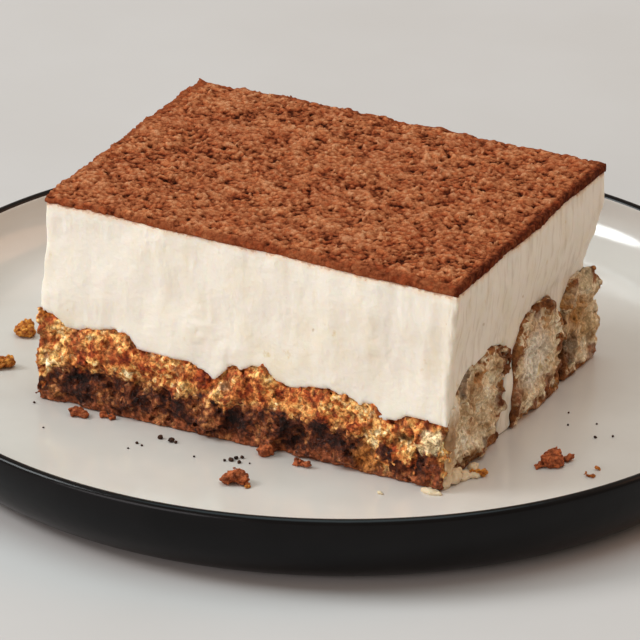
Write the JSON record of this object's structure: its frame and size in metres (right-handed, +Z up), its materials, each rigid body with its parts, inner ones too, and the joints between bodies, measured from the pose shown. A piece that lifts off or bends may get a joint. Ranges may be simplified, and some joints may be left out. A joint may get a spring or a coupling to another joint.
{
  "type": "tiramisu portion",
  "caption": "Cut portion of tiramisu on its round plate: soaked sponge fingers under thick mascarpone cream with a cocoa powder top.",
  "frame": {"origin": "centre of the plate's foot ring, in the plane that it rests on", "axes": "+Z up from the table, +X along the portion's long side, +Y from its front cut to its back"},
  "size_m": [0.203, 0.203, 0.0536],
  "materials": {
    "pale_glaze": "glossy warm white glaze on stoneware, with a glossy black glaze over the lip and the outer wall",
    "soaked_sponge": "porous golden to dark brown crumb, damp where the coffee has soaked in",
    "cream": "satin off-white cream with upright knife streaks and small pits",
    "cocoa": "dry matte powder in small lumps"
  },
  "bodies": {
    "root": {"plate": "pale_glaze", "sponge_finger_front": "soaked_sponge", "sponge_finger_middle": "soaked_sponge", "sponge_finger_back": "soaked_sponge", "mascarpone_cream": "cream", "cocoa_powder": "cocoa"}
  },
  "joints": []
}
